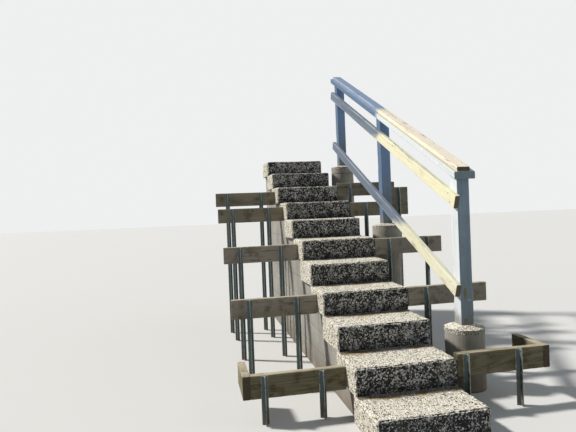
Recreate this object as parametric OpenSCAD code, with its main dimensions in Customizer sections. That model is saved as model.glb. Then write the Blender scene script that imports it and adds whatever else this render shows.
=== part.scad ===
// Outdoor steps: a straight flight of exposed-aggregate concrete step blocks,
// with a painted timber handrail on one side and staked timber edging boards.
// X runs across the flight, Y runs up it and Z is up.
// The origin is the middle of the first riser's foot, on the lowest ground.

/* [Flight] */
// Number of step blocks
step_count = 11; // [11:1:14]
// Rise from one tread to the next
rise = 180; // [175:1:200]
// Going from one nosing to the next
going = 355; // [320:1:400]
// Length of a step block, across the flight
block_length = 700; // [600:5:900]
// How far the back of a block laps under the block above it
block_lap = 45; // [20:1:90]
// Radius of a block's nosing
nosing_r = 18; // [6:1:30]
// Radius of a block's upright corners and of the edges at its ends
corner_r = 14; // [5:1:25]
// Fall of each tread towards its nosing, to shed water
tread_fall = 3; // [1:0.5:8]

/* [Foundation] */
// How far the foundation's sides stand in from the ends of the blocks
foundation_inset = 30; // [20:1:100]

/* [Handrail posts] */
// Width of a square post
post_w = 98; // [70:1:130]
// Distance from the blocks' ends to the nearest face of the posts
post_stand_off = 245; // [180:1:300]
// How far a post's front face stands behind the nosing of its step
post_set_back = 12; // [0:1:60]
// Depth of a post's foot in its footing
post_embed = 300; // [150:5:330]
// Clearance round a post's foot in its footing
post_fit = 0.5; // [0.3:0.1:3]
// Radius of a post footing
footing_r = 145; // [115:1:170]
// Height of the domed top of a footing
footing_dome = 28; // [10:1:60]
// How far the top of a footing lies below the line of the nosings
footing_drop = 70; // [20:1:120]
// Width of the concrete tie between a footing and the foundation
tie_w = 180; // [100:5:220]

/* [Handrail] */
// Height of the handrail board's underside over the nosings, at the first post
handrail_height = 1005; // [850:5:1100]
// How much flatter the handrail runs than the flight, in degrees
handrail_easing = 0.75; // [0:0.05:2]
// Width of the handrail board, whose near edge is flush with the side rails
board_w = 164; // [110:1:220]
// Thickness of the handrail board
board_t = 48; // [30:1:70]
// Width of the cap on the handrail board
cap_w = 102; // [60:1:110]
// Thickness of the cap
cap_t = 30; // [18:1:50]
// Distance from the near edge of the handrail board to the cap
cap_inset = 25; // [0:1:60]
// Depth of the two side rails
rail_h = 94; // [60:1:140]
// Thickness of the two side rails
rail_t = 40; // [30:1:60]
// Gap between the handrail board and the mid rail, square to the rails
mid_rail_gap = 107; // [60:1:160]
// Gap between the mid rail and the lower rail, square to the rails
lower_rail_gap = 494; // [300:1:550]
// How far the lower end of the handrail board runs past the first post
board_overhang = 42; // [0:1:120]
// How far the lower end of the cap stands back from the end of the board
cap_set_back = 5; // [0:1:60]
// How far the top corner of the mid rail's lower end runs past the first post
mid_overhang = 44; // [0:1:120]
// How far the top corner of the lower rail's lower end runs past the first post
lower_overhang = 22; // [0:1:120]
// How far the upper ends of the board and the side rails run past the last post
upper_overhang = 30; // [0:1:300]
// How far the upper end of the cap stands back from the end of the board
cap_upper_set_back = 30; // [0:1:60]
// How far the ends of the side rails lean from plumb, in degrees
side_rail_cut = 19; // [0:1:26]
// Radius of the rounded edges of the dressed timber
timber_r = 4; // [2:0.5:8]

/* [Edging boards] */
// Height of an edging board
edging_h = 150; // [100:1:155]
// Thickness of an edging board
edging_t = 50; // [30:1:60]
// Distance from the blocks' ends to the outer end of the edging
edging_reach = 680; // [630:5:1050]
// Length of the short boards that turn back at the corners
return_length = 330; // [150:5:600]
// Clearance between an edging board and what its end meets
edging_gap = 0.3; // [0.2:0.1:0.9]
// How far the face of an edging board on the right stands behind the nosing of its step
edging_set_back = 12; // [12:1:60]
// How far the face of an edging board on the left stands behind the nosing of its step
left_edging_set_back = 185; // [12:1:250]
// How far the top of an edging board on the left lies below the tread of its step
left_edging_drop = 46; // [0:1:80]
// Gap between the doubled board's upper half and the posts' outer faces
doubled_gap = 10; // [0:1:60]
// Width of the chamfer on the edges of the sawn boards
sawn_chamfer = 3; // [1:0.5:6]

/* [Stakes] */
// Length of each side wing of a stake, from the middle of the stake
stake_wing = 23; // [18:1:32]
// Length of a stake's front stem, from the middle of the stake
stake_stem = 26; // [18:1:40]
// Thickness of a stake's wings and stem
stake_wall = 4; // [3:0.5:6]
// Distance between the two stakes of a board
stake_spacing = 380; // [250:5:420]
// Distance from the block's end to the first stake of an edging board on the left
left_stake_first = 160; // [65:5:200]
// How far the top of a stake lies below the top of its board
stake_drop = 4; // [0:1:20]

/* [Hidden] */
// Smoothness of the round edges
$fn = 48;
// How far each block slipped sideways when it was laid, from the lowest up
block_slip = [0, 0, 0, 0, -5, 10, -5, 15, -10, -5, 0, 0, 0, 0];
// Steps with an edging board at each end, from the lowest up
edging_steps = [2, 4, 6, 8, 9];
// Height of each of those boards on the right over the tread of its step
edging_over = [20, -10, -20, -25, 25];
// Distance from the block's end to the first stake of each of those boards on the right
stake_first = [65, 155, 140, 180, 150];
// Place in the lists above of the boards that turn a corner at their outer ends
corner_board = 0;
// Place in the lists above of the board that carries a second one on its right
doubled_board = 3;
// Angle between a stake's wings and the face of the board that it holds
stake_splay = 30;
// First step with a post, and the number of steps from post to post
first_post_step = 3;
steps_per_post = 4;
post_count = 3;

block_depth = going + block_lap;
flight_pitch = atan(rise / going);
rail_pitch = flight_pitch - handrail_easing;
post_left = block_length / 2 + post_stand_off;
post_right = post_left + post_w;
foundation_w = block_length - 2 * foundation_inset;
rail_left = post_left - rail_t;
rails_end_y = post_front(post_count) + post_w + upper_overhang;
edging_end = block_length / 2 + edging_reach;
// Radius of the domed top of a footing
dome_r = (footing_r * footing_r + footing_dome * footing_dome) / (2 * footing_dome);
// Longer than anything in the part, for cuts that have to clear it
far = 2 * going * step_count;

function step_front(n) = (n - 1) * going;
function nosing_z(y) = rise * (1 + y / going);
function post_front(n) = step_front(first_post_step + (n - 1) * steps_per_post) + post_set_back;
function footing_top(n) = nosing_z(post_front(n)) - footing_drop;
// Height of a footing's tie: level with the bed of the block before its post's step
function tie_top(n) = rise * (first_post_step - 2 + (n - 1) * steps_per_post);
// Height of the handrail board's underside
function handrail_z(y) = nosing_z(post_front(1)) + handrail_height + (y - post_front(1)) * tan(rail_pitch);
// Places of edging board i: its front face, its top edge, its inner end and its stakes.
// The side is 1 on the right and -1 on the left.
function edging_front(i, side) = step_front(edging_steps[i])
    + (side == 1 ? edging_set_back : left_edging_set_back);
function edging_top(i, side) = edging_steps[i] * rise + (side == 1 ? edging_over[i] : -left_edging_drop);
function edging_start(i, side) = block_length / 2 + side * block_slip[edging_steps[i] - 1];
function edging_stop(i) = edging_end - (i == corner_board ? edging_t + edging_gap : 0);
function stake_x(i, side, k) = edging_start(i, side)
    + (side == 1 ? stake_first[i] : left_stake_first) + k * stake_spacing;
function stake_top(i, side, k) = edging_top(i, side) - stake_drop
    + (i == doubled_board && side == 1 && k == 1 ? edging_h : 0);
function two_digits(n) = str(n < 10 ? "0" : "", n);
function step_name(n) = str("step_", two_digits(n));
function edging_name(i, side) = str("edging_", two_digits(edging_steps[i]), side == 1 ? "_right" : "_left");
function stakes_name(i) = str("stakes_", two_digits(edging_steps[i]));

// Flat shapes

// A rectangle from the origin, with round corners
module round_rect(x, y, r) {
    translate([r, 0]) square([x - 2 * r, y]);
    translate([0, r]) square([x, y - 2 * r]);
    for (cx = [r, x - r], cy = [r, y - r]) translate([cx, cy]) circle(r);
}

// A rectangle from the origin, with its corners cut off
module chamfered_rect(x, y, c) {
    polygon([[c, 0], [x - c, 0], [x, c], [x, y - c], [x - c, y], [c, y], [0, y - c], [0, c]]);
}

// Stands a flat shape up and extrudes it to the right: its X becomes Y and its Y becomes Z
module extrude_right(length) {
    rotate([90, 0, 90]) linear_extrude(length) children();
}

// Stands a flat shape up and extrudes it backwards: its Y becomes Z
module extrude_back(length) {
    translate([0, length, 0]) rotate([90, 0, 0]) linear_extrude(length) children();
}

// Step blocks

// Side view: the tread falls to a round nosing, and its level back carries the next block
module block_side() {
    nose_top = rise - tread_fall;
    polygon([
        [0, 0], [block_depth, 0], [block_depth, rise], [going, rise],
        [nosing_r, nose_top], [0, nose_top - nosing_r]
    ]);
    translate([nosing_r, nose_top - nosing_r]) circle(nosing_r);
}

module step_block(n) {
    color("#98948a")
    translate([block_slip[n - 1] - block_length / 2, step_front(n), (n - 1) * rise])
    intersection() {
        extrude_right(block_length) block_side();
        linear_extrude(rise) round_rect(block_length, block_depth, corner_r);
        translate([0, 0, -corner_r])
            extrude_back(block_depth) round_rect(block_length, rise + corner_r, corner_r);
    }
}

// Mass concrete under the flight, stepped to bed every block above the lowest one
module foundation() {
    bed_steps = [for (n = [1:step_count - 1], z = [n - 1, n]) [step_front(n) + block_depth, z * rise]];
    back = step_front(step_count) + block_depth;
    color("#8b8a85")
    translate([-foundation_w / 2, 0, 0]) extrude_right(foundation_w)
        polygon(concat(bed_steps, [[back, (step_count - 1) * rise], [back, 0]]));
}

// Handrail posts and their footings

// A round pier with a domed top, cast with a tie to the foundation's side,
// and with a square pocket for the foot of its post
module footing(n) {
    top = footing_top(n);
    pier_x = post_left + post_w / 2;
    pier_y = post_front(n) + post_w / 2;
    color("#a19c90")
    difference() {
        union() {
            translate([pier_x, pier_y, 0]) rotate_extrude() {
                square([footing_r, top - footing_dome]);
                intersection() {
                    translate([0, top - 2 * footing_dome]) square([footing_r, 2 * footing_dome]);
                    translate([0, top - dome_r]) circle(dome_r);
                }
            }
            translate([foundation_w / 2, pier_y - tie_w / 2, 0])
                cube([pier_x - foundation_w / 2, tie_w, tie_top(n)]);
        }
        translate([post_left - post_fit, post_front(n) - post_fit, top - post_embed])
            cube([post_w + 2 * post_fit, post_w + 2 * post_fit, far]);
    }
}

// A square post, its head cut to the slope of the handrail that lies on it
module post(n) {
    foot = footing_top(n) - post_embed;
    color("#8e9dac")
    difference() {
        translate([post_left, post_front(n), foot])
            linear_extrude(handrail_z(post_front(n) + 2 * post_w) - foot)
                round_rect(post_w, post_w, timber_r);
        on_rails() translate([0, -far, 0]) cube([far, 2 * far, far]);
    }
}

// Rails

// Places its children in the slope of the rails: Y runs up along them from the first post,
// and Z is square to them, from the underside of the handrail board
module on_rails() {
    translate([0, post_front(1), handrail_z(post_front(1))]) rotate([rail_pitch, 0, 0]) children();
}

// A length of dressed timber up the slope, from one place along the flight to another,
// measured at its top. The ends lean from plumb by the cut, towards square to the slope.
module rail(x, width, bottom, height, from, to, cut) {
    top = bottom + height;
    shear = height * tan(rail_pitch - cut);
    start = (from - post_front(1) + top * sin(rail_pitch)) / cos(rail_pitch);
    end = start + (to - from) / cos(rail_pitch);
    on_rails() translate([x, 0, 0]) intersection() {
        translate([0, start - far, bottom])
            extrude_back(2 * far) round_rect(width, height, timber_r);
        extrude_right(width)
            polygon([[start, top], [start - shear, bottom], [end - shear, bottom], [end, top]]);
    }
}

module handrail_board() {
    color("#b9c0c4")
    rail(rail_left, board_w, 0, board_t, post_front(1) - board_overhang, rails_end_y, 0);
}

module handrail_cap() {
    color("#d9cdb4")
    rail(rail_left + cap_inset, cap_w, board_t, cap_t,
        post_front(1) - board_overhang + cap_set_back, rails_end_y - cap_upper_set_back, 0);
}

// A side rail against the posts, its top at a height from the underside of the handrail board
module side_rail(top, overhang) {
    rail(rail_left, rail_t, top - rail_h, rail_h, post_front(1) - overhang, rails_end_y, side_rail_cut);
}

module mid_rail() {
    color("#d8caa6")
    side_rail(-mid_rail_gap, mid_overhang);
}

module lower_rail() {
    color("#a9adad")
    side_rail(-mid_rail_gap - rail_h - lower_rail_gap, lower_overhang);
}

// Edging boards and their stakes

// A sawn board along X, from one distance from the middle of the flight to another
module sawn_board(from, to, front, top, side) {
    color("#8d8465")
    mirror([side == 1 ? 0 : 1, 0, 0]) translate([from, front, top - edging_h])
        extrude_right(to - from) chamfered_rect(edging_t, edging_h, sawn_chamfer);
}

module edging_board(i, side) {
    sawn_board(edging_start(i, side) + edging_gap, edging_stop(i),
        edging_front(i, side), edging_top(i, side), side);
}

// A second board on top of the doubled one, outside the handrail posts
module edging_upper_right() {
    i = doubled_board;
    sawn_board(post_right + doubled_gap, edging_end, edging_front(i, 1), edging_top(i, 1) + edging_h, 1);
}

// A short board that turns back up the slope at the outer end of the corner board
module return_board(side) {
    i = corner_board;
    color("#857a5e")
    mirror([side == 1 ? 0 : 1, 0, 0])
        translate([edging_end - edging_t, edging_front(i, side), edging_top(i, side) - edging_h])
            extrude_back(return_length) chamfered_rect(edging_t, edging_h, sawn_chamfer);
}

// A three-winged steel stake, its two wings against the face of a board at Y = 0
module stake(height) {
    hub = stake_wing * sin(stake_splay);
    linear_extrude(height) intersection() {
        translate([0, -hub]) {
            translate([-stake_wall / 2, -stake_stem]) square([stake_wall, stake_stem]);
            for (turn = [stake_splay, 180 - stake_splay])
                rotate(turn) translate([0, -stake_wall / 2]) square([2 * stake_wing, stake_wall]);
        }
        translate([-stake_wing, -far]) square([2 * stake_wing, far]);
    }
}

module stakes(i) {
    color("#3c4a50")
    for (side = [-1, 1], k = [0, 1])
        translate([side * stake_x(i, side, k), edging_front(i, side), 0]) stake(stake_top(i, side, k));
}

foundation();
handrail_board();
handrail_cap();
mid_rail();
lower_rail();
for (n = [1:step_count]) step_block(n);
for (n = [1:post_count]) post(n);
for (n = [1:post_count]) footing(n);
for (i = [0:len(edging_steps) - 1], side = [-1, 1])
    edging_board(i, side);
edging_upper_right();
return_board(-1);  // return_left
return_board(1);  // return_right
for (i = [0:len(edging_steps) - 1]) stakes(i);
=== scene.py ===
import math
import random

import bmesh
import bpy
import numpy as np
from mathutils import Matrix, Vector, noise


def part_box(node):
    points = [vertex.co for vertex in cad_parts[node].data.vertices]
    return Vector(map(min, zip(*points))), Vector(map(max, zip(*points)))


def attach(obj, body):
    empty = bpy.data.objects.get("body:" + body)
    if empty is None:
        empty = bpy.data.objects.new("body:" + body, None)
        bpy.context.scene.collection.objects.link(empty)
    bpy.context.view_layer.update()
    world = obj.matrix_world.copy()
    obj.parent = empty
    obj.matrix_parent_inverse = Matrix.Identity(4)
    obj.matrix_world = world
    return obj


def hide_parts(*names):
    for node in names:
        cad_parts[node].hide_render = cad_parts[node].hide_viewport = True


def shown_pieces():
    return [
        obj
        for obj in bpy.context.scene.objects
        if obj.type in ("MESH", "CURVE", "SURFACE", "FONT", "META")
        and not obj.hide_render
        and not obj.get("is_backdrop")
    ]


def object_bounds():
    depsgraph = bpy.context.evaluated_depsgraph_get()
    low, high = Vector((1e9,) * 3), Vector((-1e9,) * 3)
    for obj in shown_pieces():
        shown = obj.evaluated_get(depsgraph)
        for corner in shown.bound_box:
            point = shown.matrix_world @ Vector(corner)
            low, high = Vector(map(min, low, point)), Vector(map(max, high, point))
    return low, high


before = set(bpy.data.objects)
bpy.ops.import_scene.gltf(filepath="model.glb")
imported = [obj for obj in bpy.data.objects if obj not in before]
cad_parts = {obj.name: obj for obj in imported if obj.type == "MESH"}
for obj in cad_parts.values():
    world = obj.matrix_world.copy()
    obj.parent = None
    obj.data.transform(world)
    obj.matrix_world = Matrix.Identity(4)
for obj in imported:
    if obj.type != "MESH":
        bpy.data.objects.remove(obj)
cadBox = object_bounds()
print("frame loaded:", len(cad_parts), "nodes")

# what the whole flight shares, in metres and radians
flight = {
    "steps": 11,
    "rise": 0.18,
    "going": 0.355,
    "posts": 3,
    "firstPostStep": 3,
    "stepsPerPost": 4,
    "railEase": math.radians(0.75),    # the rails are this much flatter than the line of the nosings
    "sideLean": math.radians(19),      # the ends of the side rails lean this far from plumb
}
railPitch = math.atan(flight["rise"] / flight["going"]) - flight["railEase"]
upSlope = Vector((0, math.cos(railPitch), math.sin(railPitch)))
squareToSlope = Vector((0, -upSlope.z, upSlope.y))
right, back, up = Vector((1, 0, 0)), Vector((0, 1, 0)), Vector((0, 0, 1))
tiny = 1e-6


# node trees, written as sums
class Wire:
    def __init__(self, tree, socket):
        self.tree, self.socket = tree, socket

    def maths(self, operation, *others):
        return self.tree.add("ShaderNodeMath", {"operation": operation}, [self, *others])

    def __add__(self, other):
        return self.maths("ADD", other)

    def __sub__(self, other):
        return self.maths("SUBTRACT", other)

    def __rsub__(self, other):
        return self.tree.add("ShaderNodeMath", {"operation": "SUBTRACT"}, [other, self])

    def __mul__(self, other):
        return self.maths("MULTIPLY", other)

    def __truediv__(self, other):
        return self.maths("DIVIDE", other)

    __radd__ = __add__
    __rmul__ = __mul__


class Tree:
    def __init__(self, tree):
        self.tree = tree

    # any node: its kind, its settings, then what goes into its sockets by number or name
    def add(self, kind, settings=None, inputs=(), output=0):
        node = self.tree.nodes.new(kind)
        for key, value in (settings or {}).items():
            if key == "stops":
                self.setStops(node.color_ramp, value)
            else:
                setattr(node, key, value)
        pairs = inputs.items() if isinstance(inputs, dict) else enumerate(inputs)
        for key, value in pairs:
            if isinstance(value, Wire):
                self.tree.links.new(value.socket, node.inputs[key])
            else:
                node.inputs[key].default_value = value
        return Wire(self, node.outputs[output])

    def setStops(self, ramp, stops):
        while len(ramp.elements) < len(stops):
            ramp.elements.new(1.0)
        for element, (position, colour) in zip(ramp.elements, stops):
            element.position, element.color = position, (*colour, 1)

    # several outputs of the node that a wire comes from
    def outputs(self, wire, *names):
        return [Wire(self, wire.socket.node.outputs[name]) for name in names]

    def split(self, vector):
        return self.outputs(self.add("ShaderNodeSeparateXYZ", {}, [vector]), "X", "Y", "Z")

    def mix(self, factor, first, second, blend="MIX"):
        colours = [c if isinstance(c, Wire) else (*c, 1) for c in (first, second)]
        inputs = {0: factor, 6: colours[0], 7: colours[1]}
        return self.add("ShaderNodeMix", {"data_type": "RGBA", "blend_type": blend}, inputs, 2)

    # coats over a colour, each with how much and which colour, and MULTIPLY where it only darkens
    def coats(self, colour, *layers):
        for factor, *coat in layers:
            colour = self.mix(factor, colour, *coat)
        return colour

    def most(self, *values):
        top = values[0]
        for value in values[1:]:
            top = top.maths("MAXIMUM", value)
        return top

    # 1 where the floor or the world is seen as itself or in a reflection
    def seenDirectly(self):
        return self.most(*self.outputs(self.add("ShaderNodeLightPath"), "Is Camera Ray", "Is Glossy Ray"))


class Finish(Tree):
    def __init__(self, name):
        self.material = bpy.data.materials.new(name)
        self.material.use_nodes = True
        super().__init__(self.material.node_tree)
        self.shader = self.tree.nodes["Principled BSDF"]
        self.place = self.add("ShaderNodeTexCoord", output="Object")
        _, self.y, self.z = self.split(self.place)

    def outward(self):
        return self.split(self.add("ShaderNodeNewGeometry", output="Normal"))

    def move(self, turn=(0, 0, 0), scale=(1, 1, 1), shift=(0, 0, 0), place=None):
        inputs = {"Vector": place or self.place, "Location": shift, "Rotation": turn, "Scale": scale}
        return self.add("ShaderNodeMapping", {}, inputs)

    # three numbers for the scale stretch the pattern, and a shift keeps two patterns apart
    def noise(self, scale, detail=3, rough=0.55, bend=0.0, place=None, shift=(0, 0, 0)):
        if isinstance(scale, tuple):
            place, scale = self.move(scale=scale, shift=shift, place=place), 1
        elif any(shift):
            place = self.move(shift=shift, place=place)
        inputs = {"Vector": place or self.place, "Scale": scale, "Detail": detail,
                  "Roughness": rough, "Distortion": bend}
        return self.add("ShaderNodeTexNoise", {}, inputs, "Fac")

    def cells(self, scale, output="Distance", place=None):
        inputs = {"Vector": place or self.place, "Scale": scale}
        return self.add("ShaderNodeTexVoronoi", {}, inputs, output)

    def between(self, value, low, high, start=0.0, end=1.0):
        settings = {"interpolation_type": "SMOOTHSTEP"}
        return self.add("ShaderNodeMapRange", settings, [value, low, high, start, end])

    def ramp(self, value, stops):
        return self.add("ShaderNodeValToRGB", {"stops": stops}, [value], "Color")

    def attribute(self, name):
        return self.add("ShaderNodeAttribute", {"attribute_name": name}, {}, "Fac")

    # a ragged patch at one place
    def spot(self, centre, size, ragged=0.6, soft=0.1):
        away = self.add("ShaderNodeVectorMath", {"operation": "SUBTRACT"}, [self.place, centre])
        away = self.add("ShaderNodeVectorMath", {"operation": "DIVIDE"}, [away, size])
        away = self.add("ShaderNodeVectorMath", {"operation": "LENGTH"}, [away], "Value")
        rim = 1 + ragged / 2
        return self.between(away + self.noise(60, 4) * ragged, rim + soft, rim - soft)

    def bump(self, height, distance, strength):
        inputs = {"Strength": strength, "Distance": distance, "Height": height}
        return self.add("ShaderNodeBump", {}, inputs)

    def give(self, **sockets):
        for name, value in sockets.items():
            socket = self.shader.inputs[name.replace("_", " ")]
            if isinstance(value, Wire):
                self.tree.links.new(value.socket, socket)
            else:
                socket.default_value = value
        return self.material


# a Geometry Nodes tree with an input for each size and one for the material
class Growth(Tree):
    def __init__(self, name, sizes):
        super().__init__(bpy.data.node_groups.new(name, "GeometryNodeTree"))
        face = self.tree.interface
        face.new_socket("Geometry", in_out="INPUT", socket_type="NodeSocketGeometry")
        for label, value in sizes.items():
            kind = "NodeSocketInt" if isinstance(value, int) else "NodeSocketFloat"
            face.new_socket(label, in_out="INPUT", socket_type=kind).default_value = value
        face.new_socket("Finish", in_out="INPUT", socket_type="NodeSocketMaterial")
        face.new_socket("Geometry", in_out="OUTPUT", socket_type="NodeSocketGeometry")
        self.entry = self.tree.nodes.new("NodeGroupInput")

    def size(self, label):
        return Wire(self, self.entry.outputs[label])

    def end(self, instances, smooth=True):
        shape = self.add("GeometryNodeRealizeInstances", {}, [instances])
        shape = self.add("GeometryNodeSetShadeSmooth", {}, {0: shape, 2: smooth})
        shape = self.add("GeometryNodeSetMaterial", {}, {0: shape, "Material": self.size("Finish")})
        self.tree.links.new(shape.socket, self.tree.nodes.new("NodeGroupOutput").inputs[0])

    # the plain mesh that this tree makes from an object
    def grow(self, source, values):
        modifier = source.modifiers.new("growth", "NODES")
        modifier.node_group = self.tree
        for item in self.tree.interface.items_tree:
            if item.in_out == "INPUT" and item.name in values:
                modifier[item.identifier] = values[item.name]
        graph = bpy.context.evaluated_depsgraph_get()
        mesh = bpy.data.meshes.new_from_object(source.evaluated_get(graph))
        source.modifiers.remove(modifier)
        return mesh


# shapes
def rough(point, often, seed=0.0):
    return noise.noise(Vector(point) * often + Vector((seed, 1.7 * seed, -seed)))


# grid lines along a length: fixed ones near its two ends, even ones between
def marks(length, grid, ends=(0.0,), last=None):
    tail = [length - e for e in reversed(ends if last is None else last)]
    count = max(1, round((tail[0] - ends[-1]) / grid))
    middle = np.linspace(ends[-1], tail[0], count + 1)[1:-1]
    return [*ends, *middle, *tail]


# faces between two rings of points, from a ring to one point, and from a ring to its new middle point
def bridge(first, second):
    return [(first[a - 1], first[a], second[a], second[a - 1]) for a in range(len(first))]


def fan(ring, centre):
    return [(ring[a - 1], ring[a], centre) for a in range(len(ring))]


def fanOver(ring, points):
    points.append(Vector(np.mean([points[r] for r in ring], axis=0)))
    return fan(ring, len(points) - 1)


def cornersOf(node):
    return np.array([v.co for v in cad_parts[node].data.vertices])


def newObject(name, data):
    made = bpy.data.objects.new(name, data)
    bpy.context.scene.collection.objects.link(made)
    return made


def addPiece(name, mesh, slotName, nodes=()):
    mesh.name = name
    piece = newObject(name, mesh)
    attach(piece, "root")
    if nodes:
        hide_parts(*nodes)
    return piece


def addAttribute(mesh, name, kind, domain, values):
    key = "vector" if kind == "FLOAT_VECTOR" else "value"
    mesh.attributes.new(name, kind, domain).data.foreach_set(key, values)


def closedMesh(points, faces, material, sharp, marksOf=None):
    mesh = bpy.data.meshes.new("shape")
    mesh.from_pydata([tuple(p) for p in points], [], faces)
    shape = bmesh.new()
    shape.from_mesh(mesh)
    bmesh.ops.recalc_face_normals(shape, faces=shape.faces)
    shape.to_mesh(mesh)
    shape.free()
    mesh.polygons.foreach_set("use_smooth", [True] * len(mesh.polygons))
    mesh.set_sharp_from_angle(angle=math.radians(sharp))
    mesh.materials.append(material)
    for name, values in (marksOf or {}).items():
        addAttribute(mesh, name, "FLOAT", "POINT", values)
    return mesh


# a closed box of small squares, each vertex placed by a function; a side that isn't gridded is hidden
# and flat, so one fan of long triangles fills it
def latticeBox(lines, place, gridded):
    xs, ys, zs = lines
    found, points, faces = {}, [], []

    def at(i, j, k):
        if (i, j, k) not in found:
            found[i, j, k] = len(points)
            points.append(place(Vector((xs[i], ys[j], zs[k]))))
        return found[i, j, k]

    last = [len(xs) - 1, len(ys) - 1, len(zs) - 1]
    sides = {"left": (0, 0), "right": (0, last[0]), "front": (1, 0), "back": (1, last[1]),
             "bottom": (2, 0), "top": (2, last[2])}
    for side, (axis, fixed) in sides.items():
        u, v = [a for a in range(3) if a != axis]

        def corner(a, b):
            key = [0, 0, 0]
            key[axis], key[u], key[v] = fixed, a, b
            return at(*key)

        if side in gridded:
            for a in range(last[u]):
                for b in range(last[v]):
                    faces.append((corner(a, b), corner(a + 1, b), corner(a + 1, b + 1), corner(a, b + 1)))
        else:
            ring = [corner(a, 0) for a in range(last[u])] + [corner(last[u], b) for b in range(last[v])]
            ring += [corner(a, last[v]) for a in range(last[u], 0, -1)]
            ring += [corner(0, b) for b in range(last[v], 0, -1)]
            faces += fanOver(ring, points)
    return points, faces


# finishes of the concrete
stoneLook = {
    "stoneSize": 0.0090,
    "gritSize": 0.0024,
    "mortar": (0.15, 0.135, 0.11),
    "mortarPale": (0.78, 0.73, 0.62),
    "mortarPit": (0.10, 0.095, 0.085),
    "dusty": (0.70, 0.68, 0.64),
    "fleck": (0.88, 0.865, 0.83),
    # riser colours, dark with a blue cast: partly grime, partly painted shade
    "riserDark": (0.035, 0.036, 0.045),
    "riserMid": (0.88, 0.92, 1.0),
    "riserFootDark": (0.22, 0.23, 0.27),
    "pit": (0.17, 0.15, 0.12),
    "backDirtAndShadow": (0.26, 0.25, 0.24),
    "algae": (0.10, 0.105, 0.05),
    "leafStain": (0.33, 0.22, 0.105),
    "lichen": (0.56, 0.585, 0.63),
    "stones": [(0.0, (0.03, 0.028, 0.026)), (0.12, (0.06, 0.055, 0.045)), (0.17, (0.40, 0.33, 0.23)),
               (0.26, (0.77, 0.71, 0.57)), (0.46, (0.94, 0.90, 0.77)), (0.60, (0.82, 0.80, 0.74)),
               (0.76, (0.95, 0.925, 0.83)), (1.0, (0.97, 0.955, 0.90))],
}


# weather and painted light on stones and mortar alike: treads and left faces are bleached, the left faces
# partly as a painted sunlit side; risers are dark and blotched with a blue cast, partly grime and partly
# painted shade
def stoneWeatherAndShade(f, colour, upward, leftward, clean):
    look = stoneLook
    facing, sunny = f.between(upward, 0.55, 0.93), f.between(leftward, 0.30, 0.70)
    # upright faces (risers, right and back faces) take the riser darkening, partly grime and partly painted
    # shade; faces towards the key light are spared, a painted sunlit side
    upright = (1 - facing) * (1 - sunny)
    patch = f.noise(14, 4, 0.6)
    clots = f.noise(90, 3, 0.6, shift=(6, 3, 1))
    bright = f.between(clean * 0.80 + (patch - 0.5) * 1.1 + (clots - 0.5) * 0.6, 0.46, 0.68)
    # soil here is the riser darkening: partly grime, partly painted shade
    soil = f.mix(bright, look["riserDark"], look["riserMid"])
    # dark pits on treads and left faces: partly dirt, partly painted shade in the gaps between stones
    pits = f.between(f.noise((88, 44, 88), 3, 0.6), 0.560, 0.605)
    inStep = (f.z / flight["rise"]).maths("FRACT")
    inTread = (f.y / flight["going"]).maths("FRACT")
    # darker towards the foot of each riser
    riserFootDark = upright * f.between(inStep + patch * 0.35, 0.60, 0.26)
    green = f.between(f.noise(5, 5, 0.6), 0.58, 0.74) * (1 - facing * 0.8)
    spots = f.between(f.noise(19, 6, 0.72, shift=(3, 1, 7)), 0.55, 0.66) * upright
    litter = f.between(f.noise(6, 5, 0.62, shift=(9, 2, 5)), 0.43, 0.60)
    foot = facing * litter * f.between(inTread + f.noise(16, 5, 0.7) * 0.5, 0.90, 1.10)
    # a dark strip at the back of each tread below the top one: painted shadow of the riser above, partly dirt
    rear = f.between(inTread + f.noise(28, 4) * 0.05, 0.875, 0.915) * f.between(f.y, 3.58, 3.55)
    return f.coats(
        colour,
        (pits * (1 - upright) * 0.9, look["pit"], "MULTIPLY"),
        (upright * f.between(f.noise(5, 3), 0.25, 0.45, 0.86, 1.0), soil, "MULTIPLY"),
        (riserFootDark * 0.85, look["riserFootDark"], "MULTIPLY"),
        (green * 0.25, look["algae"]),
        (spots * 0.60, look["lichen"]),
        (foot * 0.85, look["leafStain"]),
        (facing * rear * 0.9, look["backDirtAndShadow"], "MULTIPLY"))


def blockFinish():
    look = stoneLook
    f = Finish("exposed_aggregate_concrete")
    across, _, upward = f.outward()
    near = f.cells(1 / look["stoneSize"])
    kind = f.split(f.cells(1 / look["stoneSize"], "Color"))
    stone = f.between(near + f.noise(260, 2) * 0.12, 0.56, 0.40)
    grit = f.split(f.cells(1 / look["gritSize"], "Color"))[0]
    ground = f.mix(f.between(grit, 0.05, 0.45), look["mortar"], look["mortarPale"])
    pits = f.between(f.noise(75, 3, 0.6, shift=(5, 8, 2)), 0.60, 0.68)
    colour = f.coats(
        ground,
        (pits * 0.85, look["mortarPit"], "MULTIPLY"),
        (stone, f.ramp(kind[0], look["stones"])),
        (f.noise(420, 2) * 0.3, look["dusty"], "MULTIPLY"))
    colour = stoneWeatherAndShade(f, colour, upward, across * -1, kind[1])
    height = stone * f.between(near, 0.55, 0.0, 0.35, 1.0) + grit * 0.12 - pits * 0.5
    return f.give(Base_Color=colour, Roughness=0.80 + 0.15 * grit, Normal=f.bump(height, 0.0026, 0.9),
                  Specular_IOR_Level=0.25)


def pebbleFinish():
    f = Finish("river_pebbles")
    tone, clean, facing, sunny = [f.attribute(a) for a in ("tone", "clean", "facing", "sunny")]
    fleck = f.noise(620, 3, 0.6)
    colour = f.ramp(tone, stoneLook["stones"])
    colour = f.mix(f.between(fleck, 0.35, 0.70), colour, stoneLook["fleck"], "MULTIPLY")
    colour = stoneWeatherAndShade(f, colour, facing, sunny, clean)
    return f.give(Base_Color=colour, Roughness=0.62 + 0.3 * fleck, Normal=f.bump(fleck, 0.0006, 0.5),
                  Specular_IOR_Level=0.25)


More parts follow.
